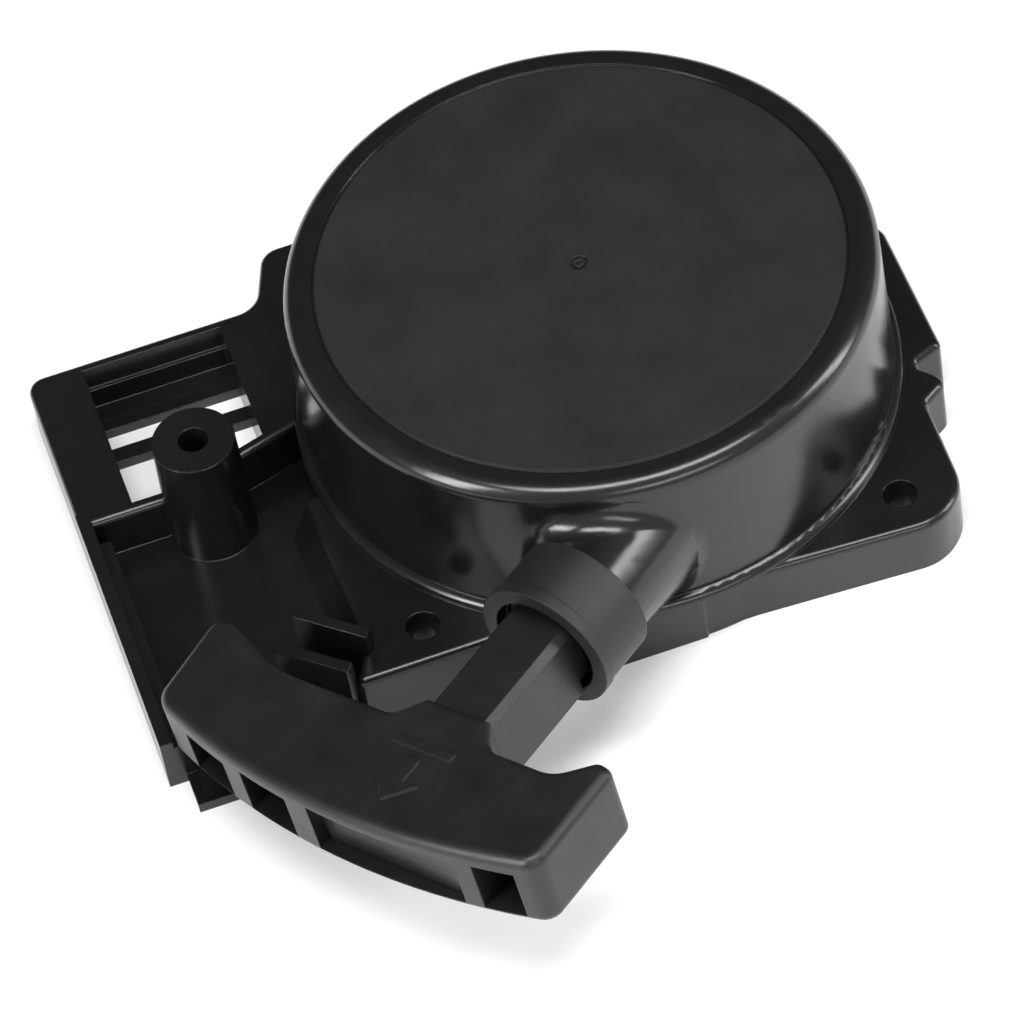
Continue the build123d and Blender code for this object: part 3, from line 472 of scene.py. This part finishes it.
def braided_nylon(name, look, straight):
    """Braided nylon cord: bright filament bundles in a diamond braid, with dark tracer strands, and painted
    shade that darkens the valleys between strands.

    The braid is counted along and around the cord, from the cord's own line on a straight run, where it stays
    its size when the cord is drawn out, and from the UV map on a wound one.
    """
    material, tree = new_material(name)
    coordinates = add_node(tree, "ShaderNodeTexCoord")
    if straight:
        along = add_node(
            tree, "ShaderNodeVectorMath",
            {"operation": "DOT_PRODUCT", 1: tuple(PULL)},
            {0: coordinates.outputs["Object"]},
        ).outputs["Value"]
        side = add_node(
            tree, "ShaderNodeVectorMath",
            {"operation": "DOT_PRODUCT", 1: tuple(ASIDE)},
            {0: coordinates.outputs["Object"]},
        ).outputs["Value"]
        side = add_node(
            tree, "ShaderNodeMath", {"operation": "SUBTRACT", 1: CORD_OFFSET}, {0: side}
        ).outputs[0]
        rise = add_node(tree, "ShaderNodeSeparateXYZ", links={0: coordinates.outputs["Object"]}).outputs[2]
        rise = add_node(
            tree, "ShaderNodeMath", {"operation": "SUBTRACT", 1: CORD_FOOT.z}, {0: rise}
        ).outputs[0]
        angle = add_node(tree, "ShaderNodeMath", {"operation": "ARCTAN2"}, {0: rise, 1: side}).outputs[0]
        around = add_node(
            tree, "ShaderNodeMath", {"operation": "DIVIDE", 1: 2 * math.pi}, {0: angle}
        ).outputs[0]
        along = add_node(
            tree, "ShaderNodeMath", {"operation": "DIVIDE", 1: look.braid_pitch}, {0: along}
        ).outputs[0]
    else:
        parts = add_node(tree, "ShaderNodeSeparateXYZ", links={0: coordinates.outputs["UV"]})
        around = parts.outputs[1]
        along = add_node(
            tree, "ShaderNodeMath", {"operation": "DIVIDE", 1: look.braid_pitch / MM}, {0: parts.outputs[0]}
        ).outputs[0]
    turns = add_node(
        tree, "ShaderNodeMath", {"operation": "MULTIPLY", 1: float(look.strands)}, {0: around}
    ).outputs[0]
    counts = [
        add_node(tree, "ShaderNodeMath", {"operation": way}, {0: turns, 1: along}).outputs[0]
        for way in ("ADD", "SUBTRACT")
    ]
    crowns = []
    for own, other, sign in ((counts[0], counts[1], 1.0), (counts[1], counts[0], -1.0)):
        half_turns = add_node(
            tree, "ShaderNodeMath", {"operation": "MULTIPLY", 1: math.pi}, {0: own}
        ).outputs[0]
        across = add_node(tree, "ShaderNodeMath", {"operation": "COSINE"}, {0: half_turns}).outputs[0]
        crown = add_node(tree, "ShaderNodeMath", {"operation": "POWER", 1: 2.0}, {0: across}).outputs[0]
        nearest = add_node(tree, "ShaderNodeMath", {"operation": "ROUND"}, {0: own}).outputs[0]
        crossing = add_node(tree, "ShaderNodeMath", {"operation": "ADD"}, {0: other, 1: nearest}).outputs[0]
        crossing = add_node(
            tree, "ShaderNodeMath", {"operation": "MULTIPLY", 1: math.pi}, {0: crossing}
        ).outputs[0]
        lift = add_node(tree, "ShaderNodeMath", {"operation": "COSINE"}, {0: crossing}).outputs[0]
        lift = add_node(
            tree, "ShaderNodeMath", {"operation": "MULTIPLY_ADD", 1: sign / 2, 2: 0.5}, {0: lift}
        ).outputs[0]
        crowns.append(
            add_node(tree, "ShaderNodeMath", {"operation": "MULTIPLY"}, {0: crown, 1: lift}).outputs[0]
        )
    height = add_node(
        tree, "ShaderNodeMath", {"operation": "MAXIMUM"}, {0: crowns[0], 1: crowns[1]}
    ).outputs[0]
    strand = add_node(tree, "ShaderNodeMath", {"operation": "ROUND"}, {0: counts[0]}).outputs[0]
    tracer = add_node(
        tree, "ShaderNodeMath", {"operation": "PINGPONG", 1: look.strands / 2}, {0: strand}
    ).outputs[0]
    is_tracer = add_node(tree, "ShaderNodeMath", {"operation": "LESS_THAN", 1: 0.5}, {0: tracer}).outputs[0]
    first_shows = add_node(
        tree, "ShaderNodeMath", {"operation": "GREATER_THAN"}, {0: crowns[0], 1: crowns[1]}
    ).outputs[0]
    dark = add_node(
        tree, "ShaderNodeMath", {"operation": "MULTIPLY"}, {0: is_tracer, 1: first_shows}
    ).outputs[0]
    fibres = add_node(
        tree, "ShaderNodeTexNoise", {"Scale": 1 / (0.25 * MM), "Detail": 4.0, "Roughness": 0.7},
        {"Vector": coordinates.outputs["Object"]},
    ).outputs[0]
    # painted shade: where the braid is low, the yarn is mixed towards the darker valley colour, as shade
    # between the strands
    yarn_with_painted_shade = add_node(
        tree, "ShaderNodeMix",
        {"data_type": "RGBA", 6: linear(look.painted_valley_shade_colour), 7: linear(look.yarn_colour)}, {0: height},
    ).outputs[2]
    colour = add_node(
        tree, "ShaderNodeMix", {"data_type": "RGBA", 7: linear(look.tracer_colour)}, {0: dark, 6: yarn_with_painted_shade}
    ).outputs[2]
    relief = add_node(
        tree, "ShaderNodeBump", {"Strength": 0.9, "Distance": 0.3 * MM}, {"Height": height}
    ).outputs[0]
    fine = add_node(
        tree, "ShaderNodeBump", {"Strength": 0.4, "Distance": 0.05 * MM}, {"Height": fibres, "Normal": relief}
    ).outputs[0]
    shader = add_node(
        tree, "ShaderNodeBsdfPrincipled",
        {"Roughness": 0.62, "IOR": NYLON_IOR, "Sheen Weight": 0.25, "Sheen Roughness": 0.4},
        {"Base Color": colour, "Normal": fine},
    )
    close_material(tree, shader)
    return material


# ---- settings ----


class HousingLook(bpy.types.PropertyGroup):
    """Finish of the moulded housing."""

    body_colour: bpy.props.StringProperty(
        name="Body colour", description="Black of the nylon", default="#161417"
    )
    shade_colour: bpy.props.StringProperty(
        name="Cloud colour", description="Darker flow clouds", default="#0f0e10"
    )
    line_radius: bpy.props.FloatProperty(
        name="Face line radius", description="Fine line round the dull face", default=0.0448, unit="LENGTH"
    )
    grain_size: bpy.props.FloatProperty(
        name="Grain size", description="Pimples of the eroded face, drawn coarser than real to show",
        default=0.35 * MM, unit="LENGTH",
    )
    cloud_size: bpy.props.FloatProperty(
        name="Cloud size", description="Width of ripples and flow clouds", default=14 * MM, unit="LENGTH"
    )
    handling_size: bpy.props.FloatProperty(
        name="Handling size", description="Width of marks that dull the polish", default=7 * MM, unit="LENGTH"
    )
    gloss: bpy.props.FloatProperty(
        name="Polished roughness", description="Roughness of polished walls", default=0.19
    )
    collar_radius: bpy.props.FloatProperty(
        name="Collar", description="Reach of the dull collar from the cord", default=0.0125, unit="LENGTH"
    )
    collar_start: bpy.props.FloatProperty(
        name="Collar start", description="Start of the dull collar along the pull",
        default=0.0474, unit="LENGTH",
    )
    dull: bpy.props.FloatProperty(
        name="Eroded roughness", description="Roughness of the dull face", default=0.5
    )
    edge_radius: bpy.props.FloatProperty(
        name="Edge radius", description="Rounding of the mould's sharp edges",
        default=0.35 * MM, unit="LENGTH",
    )


class GripLook(bpy.types.PropertyGroup):
    """Finish of the moulded grip."""

    body_colour: bpy.props.StringProperty(
        name="Body colour", description="Black of the nylon", default="#171518"
    )
    shade_colour: bpy.props.StringProperty(
        name="Cloud colour", description="Darker flow clouds", default="#100f11"
    )
    roll: bpy.props.FloatProperty(
        name="Roll", description="Tilt of the broad face about the cord, in degrees", default=-8.0
    )
    grain_size: bpy.props.FloatProperty(
        name="Grain size", description="Eroded grain, drawn coarser than real to show",
        default=0.3 * MM, unit="LENGTH",
    )
    seam_width: bpy.props.FloatProperty(
        name="Seam width", description="Half width of the tool seam", default=0.18 * MM, unit="LENGTH"
    )
    rub_size: bpy.props.FloatProperty(
        name="Rub size", description="Width of patches that hands have rubbed", default=9 * MM, unit="LENGTH"
    )
    satin: bpy.props.FloatProperty(name="Satin roughness", description="Roughness of the grain", default=0.4)
    edge_radius: bpy.props.FloatProperty(
        name="Edge radius", description="Rounding of the mould's sharp edges", default=0.3 * MM, unit="LENGTH"
    )


class MechanismLook(bpy.types.PropertyGroup):
    """Finishes of the reel, steel and brass inside."""

    reel_colour: bpy.props.StringProperty(
        name="Reel colour", description="Grey of the reel", default="#4b4c4f"
    )
    reel_shade: bpy.props.StringProperty(name="Reel clouds", description="Darker clouds", default="#3c3d40")
    zinc_colour: bpy.props.StringProperty(name="Zinc plate", description="Bright zinc", default="#c9ccd0")
    zinc_shade: bpy.props.StringProperty(
        name="Zinc clouds", description="Blue passivation", default="#a9b0b8"
    )
    sinter_colour: bpy.props.StringProperty(
        name="Sintered steel", description="Oiled pawls", default="#77777a"
    )
    sinter_shade: bpy.props.StringProperty(
        name="Sinter clouds", description="Oil-dark patches", default="#545558"
    )
    spring_colour: bpy.props.StringProperty(name="Spring steel", description="Blued strip", default="#5d6676")
    spring_shade: bpy.props.StringProperty(name="Spring clouds", description="Heat tint", default="#3f4450")
    brass_colour: bpy.props.StringProperty(name="Brass", description="Turned insert", default="#d6b26a")
    brass_shade: bpy.props.StringProperty(name="Brass clouds", description="Dull patches", default="#b08d4c")


class CordLook(bpy.types.PropertyGroup):
    """Size and colours of the cord."""

    radius: bpy.props.FloatProperty(
        name="Radius", description="Half the cord", default=1.75 * MM, unit="LENGTH"
    )
    turns: bpy.props.IntProperty(name="Turns", description="Whole turns on the reel", default=4)
    turn_pitch: bpy.props.FloatProperty(
        name="Turn pitch", description="Step from turn to turn", default=3.7 * MM, unit="LENGTH"
    )
    tuck_radius: bpy.props.FloatProperty(
        name="Tuck radius", description="Bend of the inner end to its knot", default=6.0 * MM, unit="LENGTH"
    )
    strands: bpy.props.IntProperty(name="Strands", description="Strands each way round", default=8)
    braid_pitch: bpy.props.FloatProperty(
        name="Braid pitch", description="Length of cord in which a strand passes one neighbour",
        default=1.15 * MM, unit="LENGTH",
    )
    relief: bpy.props.FloatProperty(
        name="Relief", description="Depth of the braid", default=0.16 * MM, unit="LENGTH"
    )
    yarn_colour: bpy.props.StringProperty(name="Yarn", description="Off-white nylon", default="#dddacf")
    # painted shade: the valley colour is shade painted between the strands, not a colour of the yarn
    painted_valley_shade_colour: bpy.props.StringProperty(
        name="Valleys", description="Between the strands", default="#8f8c82"
    )
    tracer_colour: bpy.props.StringProperty(name="Tracer", description="Dark strands", default="#26282c")


class StudioLook(bpy.types.PropertyGroup):
    """Camera, floor and light."""

    azimuth: bpy.props.FloatProperty(name="Azimuth", description="Camera bearing, degrees", default=-10.11)
    elevation: bpy.props.FloatProperty(name="Elevation", description="Camera height, degrees", default=50.51)
    roll: bpy.props.FloatProperty(name="Roll", description="Camera tilt, degrees", default=10.35)
    distance: bpy.props.FloatProperty(
        name="Distance", description="Camera to target", default=1.03175, unit="LENGTH"
    )
    target: bpy.props.FloatVectorProperty(
        name="Target", description="Point the camera looks at",
        default=(-0.02009, -0.00788, -0.0058), unit="LENGTH",
    )
    lens: bpy.props.FloatProperty(
        name="Lens", description="Focal length in mm on a 36 mm sensor", default=211.86
    )
    floor_colour: bpy.props.StringProperty(name="Floor", description="Pale paper", default="#f4f4f4")


# ---- operators: the pieces ----


class RECOIL_OT_housing(bpy.types.Operator):
    """Moulded housing: polished black nylon with a dull face on the drum"""

    bl_idname = "recoil.housing"
    bl_label = "Housing"

    def execute(self, context):
        paint(frame["nodes"]["housing"], moulded_housing_nylon(context.scene.recoil_housing))
        return {"FINISHED"}


class RECOIL_OT_grip(bpy.types.Operator):
    """Moulded grip and the cover of its knot chamber: satin black nylon"""

    bl_idname = "recoil.grip"
    bl_label = "Grip"

    def execute(self, context):
        nylon = moulded_grip_nylon(context.scene.recoil_grip)
        paint(frame["nodes"]["grip"], nylon)
        paint(frame["nodes"]["grip_cover"], nylon)
        return {"FINISHED"}


class RECOIL_OT_mechanism(bpy.types.Operator):
    """Reel, screws, washers, plate, pawls, springs and insert"""

    bl_idname = "recoil.mechanism"
    bl_label = "Mechanism"

    def execute(self, context):
        look = context.scene.recoil_mechanism
        # bright zinc on pressed and turned steel: soft sheen, faint blue clouds
        zinc = plated_metal("zinc_plated_steel", look.zinc_colour, look.zinc_shade, 0.3, 0.5 * MM, 0.02 * MM)
        # sintered steel soaked in oil: fine open grain
        sinter = plated_metal(
            "oiled_sintered_steel", look.sinter_colour, look.sinter_shade, 0.42, 0.3 * MM, 0.05 * MM
        )
        # blued spring strip and wire: smooth, dark, heat-tinted
        spring = plated_metal(
            "blued_spring_steel", look.spring_colour, look.spring_shade, 0.26, 0.8 * MM, 0.01 * MM
        )
        # turned brass insert: warm, with tool marks
        brass = plated_metal("turned_brass", look.brass_colour, look.brass_shade, 0.28, 0.4 * MM, 0.02 * MM)
        wear = {
            zinc: (
                "rope_guide", "thrust_washer", "spacer_sleeve", "retainer_washer", "centre_screw",
                "guide_plate", "pawl_pins", "spring_cover", "cover_screws", "knot_washer",
            ),
            sinter: ("pawl_1", "pawl_2"),
            spring: ("friction_spring", "rewind_spring"),
            brass: ("post_insert",),
            moulded_reel_nylon(look): ("reel",),
        }
        for material, nodes in wear.items():
            for node in nodes:
                paint(frame["nodes"][node], material)
        return {"FINISHED"}


class RECOIL_OT_pull_cord(bpy.types.Operator):
    """Cord from the reel through the guide to the knot in the grip"""

    bl_idname = "recoil.pull_cord"
    bl_label = "Pull cord"

    def execute(self, context):
        look = context.scene.recoil_cord
        low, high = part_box("rope_run")
        slant = math.sqrt(1 - PULL.x**2)
        length = (high.x - low.x - 2 * look.radius * slant) / abs(PULL.x)
        steps = np.linspace(-length / 2, length / 2, 120)
        path = np.array(CORD_MIDDLE) + steps[:, None] * np.array(PULL)
        # the relief is left to the material, so that the braid stays its size when the cord is drawn out
        cord = cord_surface("pull_cord", path, look.radius, 0.0, look.strands, look.braid_pitch)
        paint(cord, braided_nylon("braided_nylon_run", look, straight=True))
        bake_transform(cord)
        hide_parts("rope_run")
        return {"FINISHED"}


class RECOIL_OT_wound_cord(bpy.types.Operator):
    """Cord wound on the reel, turn on turn, down to its inner knot"""

    bl_idname = "recoil.wound_cord"
    bl_label = "Wound cord"

    def execute(self, context):
        look = context.scene.recoil_cord
        # half turns whose radius falls by half the pitch, centred by turns on the axis and half a pitch
        # aside, then a quarter turn inwards to the knot
        aside, pull = np.array(ASIDE), np.array(PULL)
        half_step = look.turn_pitch / 2
        stretches = []
        for half_turn in range(look.turns * 2):
            even = half_turn % 2 == 0
            radius = CORD_OFFSET - half_step * half_turn
            angle = np.linspace(0, np.pi, 150)[:-1]
            sign = 1 if even else -1
            centre = np.zeros(3) if even else aside * -half_step
            stretches.append(
                centre + sign * radius * (np.cos(angle)[:, None] * aside - np.sin(angle)[:, None] * pull)
            )
        inner = CORD_OFFSET - look.turn_pitch * look.turns
        angle = np.linspace(0, np.pi / 2, 24)
        centre = aside * (inner - look.tuck_radius)
        stretches.append(
            centre + look.tuck_radius * (np.cos(angle)[:, None] * aside - np.sin(angle)[:, None] * pull)
        )
        path = np.vstack(stretches) + np.array([0, 0, CORD_FOOT.z])
        cord = cord_surface("wound_cord", path, look.radius, look.relief, look.strands, look.braid_pitch)
        paint(cord, braided_nylon("braided_nylon_wound", look, straight=False))
        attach(cord, "reel_group")
        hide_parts("rope_wound")
        return {"FINISHED"}


class RECOIL_OT_knots(bpy.types.Operator):
    """Tight stopper knots at both ends of the cord"""

    bl_idname = "recoil.knots"
    bl_label = "Knots"

    def execute(self, context):
        look = context.scene.recoil_cord
        nylon = braided_nylon("braided_nylon_knot", look, straight=False)
        for name, node, body, axis, squeeze in (
            ("grip_stopper_knot", "grip_knot", "handle", PULL, 0.94),
            ("reel_stopper_knot", "reel_knot", "reel_group", ASIDE, 0.68),
        ):
            self.tie(look, nylon, name, node, body, axis, squeeze)
        return {"FINISHED"}

    def tie(self, look, nylon, name, node, body, axis, squeeze):
        """Overhand knot drawn tight.

        The cord follows a trefoil, twice round the axis and three times up and down.
        """
        low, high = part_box(node)
        size = high - low
        centre = np.array((low + high) / 2)
        side = UP.cross(axis).normalized()
        width = size.z / 2
        depth = min(abs(size.dot(axis)) / 2, width * 1.1)
        radius = look.radius * squeeze * 0.8
        t = np.linspace(0, 2 * np.pi, 261)
        scale = (width - radius) / 3
        reach = (2 + np.cos(3 * t)) * scale
        path = (
            centre
            + (reach * np.cos(2 * t))[:, None] * np.array(side)
            + (reach * np.sin(2 * t))[:, None] * np.array(UP)
            + (np.sin(3 * t) * (depth - radius) * 0.6)[:, None] * np.array(axis)
        )
        binormal = np.tile(np.array(axis), (len(path), 1))
        knot = cord_surface(
            name, path, radius, look.relief, look.strands, look.braid_pitch, columns=28, binormal=binormal
        )
        paint(knot, nylon)
        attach(knot, body)
        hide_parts(node)


# ---- operator: the stage ----

LIGHTS_AIM = Vector((-0.02, -0.01, 0.02))
# name, place, width and depth in metres, and power in watts, of each soft box
SOFT_BOXES = (
    ("left_box", (-1.2, -0.5, 0.8), (0.35, 1.0), 17),
    ("right_box", (1.2, -0.3, 0.7), (0.25, 1.0), 9),
    ("front_box", (0.2, -1.5, 0.9), (0.9, 0.3), 5),
    ("top_box", (0.0, -0.3, 1.8), (1.4, 0.5), 27),
)


class RECOIL_OT_studio(bpy.types.Operator):
    """Pale floor, soft light and the camera"""

    bl_idname = "recoil.studio"
    bl_label = "Studio"

    def execute(self, context):
        look = context.scene.recoil_studio
        scene = context.scene
        self.lay_floor(look)
        self.hang_lights(scene)
        self.place_camera(scene, look)
        return {"FINISHED"}

    def lay_floor(self, look):
        """Flat floor at the level of the mounting face, made of a coarse grid."""
        half = 3.0
        cells = 4
        line = np.linspace(-half, half, cells + 1)
        x, y = np.meshgrid(line, line, indexing="ij")
        points = np.stack([x, y, np.full_like(x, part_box("housing")[0].z)], -1).reshape(-1, 3)
        corner = np.arange(cells)[:, None] * (cells + 1) + np.arange(cells)[None, :]
        faces = np.stack([corner, corner + cells + 1, corner + cells + 2, corner + 1], -1).reshape(-1, 4)
        mesh = bpy.data.meshes.new("floor")
        mesh.from_pydata(points.tolist(), [], faces.tolist())
        floor = bpy.data.objects.new("floor", mesh)
        bpy.context.scene.collection.objects.link(floor)
        material, tree = new_material("matt_paper_floor")
        shader = add_node(
            tree, "ShaderNodeBsdfPrincipled",
            {"Base Color": linear(look.floor_colour), "Roughness": 0.9, "Specular IOR Level": 0.1},
        )
        close_material(tree, shader)
        paint(floor, material)

    def hang_lights(self, scene):
        """Soft boxes aimed at the object, and a dim room round it."""
        scene.view_settings.view_transform = "Standard"
        world = bpy.data.worlds.new("studio_room")
        world.use_nodes = True
        tree = world.node_tree
        # the room is darker behind the object, so that the drum's closed face stays black
        direction = add_node(tree, "ShaderNodeTexCoord").outputs["Generated"]
        bearing = add_node(tree, "ShaderNodeSeparateXYZ", links={0: direction})
        strength = add_node(
            tree, "ShaderNodeMapRange",
            {"From Min": -0.6, "From Max": 0.7, "To Min": 0.5, "To Max": 0.07},
            {"Value": bearing.outputs["Y"]},
        )
        tree.links.new(strength.outputs[0], tree.nodes["Background"].inputs["Strength"])
        tree.nodes["Background"].inputs["Color"].default_value = (1, 1, 1, 1)
        scene.world = world
        for name, place, size, power in SOFT_BOXES:
            light = bpy.data.lights.new(name, "AREA")
            light.shape = "RECTANGLE"
            light.size, light.size_y = size
            light.energy = power
            lamp = bpy.data.objects.new(name, light)
            lamp.location = place
            lamp.rotation_euler = (LIGHTS_AIM - Vector(place)).to_track_quat("-Z", "Y").to_euler()
            scene.collection.objects.link(lamp)

    def place_camera(self, scene, look):
        """Camera on a sphere round its target, tilted about its own line of sight."""
        azimuth, elevation, roll = (math.radians(a) for a in (look.azimuth, look.elevation, look.roll))
        back = Vector(
            (
                math.sin(azimuth) * math.cos(elevation),
                -math.cos(azimuth) * math.cos(elevation),
                math.sin(elevation),
            )
        )
        level = Vector((math.cos(azimuth), math.sin(azimuth), 0))
        rise = back.cross(level)
        right = level * math.cos(roll) - rise * math.sin(roll)
        up = level * math.sin(roll) + rise * math.cos(roll)
        turn = Matrix((right, up, back)).transposed().to_4x4()
        camera = bpy.data.cameras.new("camera")
        camera.sensor_width = 36.0
        camera.lens = look.lens
        camera.clip_end = 20.0
        holder = bpy.data.objects.new("camera", camera)
        holder.matrix_world = Matrix.Translation(Vector(look.target) + back * look.distance) @ turn
        scene.collection.objects.link(holder)
        scene.camera = holder


PIECES = (
    RECOIL_OT_housing,
    RECOIL_OT_grip,
    RECOIL_OT_mechanism,
    RECOIL_OT_pull_cord,
    RECOIL_OT_wound_cord,
    RECOIL_OT_knots,
    RECOIL_OT_studio,
)


class RECOIL_PT_panel(bpy.types.Panel):
    """Sidebar panel that lists the pieces"""

    bl_label = "Recoil starter"
    bl_space_type = "VIEW_3D"
    bl_region_type = "UI"
    bl_category = "Recoil starter"

    def draw(self, context):
        for piece in PIECES:
            self.layout.operator(piece.bl_idname)


LOOKS = {
    "recoil_housing": HousingLook,
    "recoil_grip": GripLook,
    "recoil_mechanism": MechanismLook,
    "recoil_cord": CordLook,
    "recoil_studio": StudioLook,
}
CLASSES = (*LOOKS.values(), *PIECES, RECOIL_PT_panel)


def register():
    """Registers the settings, operators and panel."""
    for cls in CLASSES:
        bpy.utils.register_class(cls)
    for name, group in LOOKS.items():
        setattr(bpy.types.Scene, name, bpy.props.PointerProperty(type=group))


def unregister():
    """Takes back what register added."""
    for name in LOOKS:
        delattr(bpy.types.Scene, name)
    for cls in reversed(CLASSES):
        bpy.utils.unregister_class(cls)


def main():
    """Makes every piece in order."""
    register()
    bpy.ops.recoil.housing()
    bpy.ops.recoil.grip()
    bpy.ops.recoil.mechanism()
    bpy.ops.recoil.pull_cord()
    bpy.ops.recoil.wound_cord()
    bpy.ops.recoil.knots()
    bpy.ops.recoil.studio()


if __name__ == "__main__":
    main()
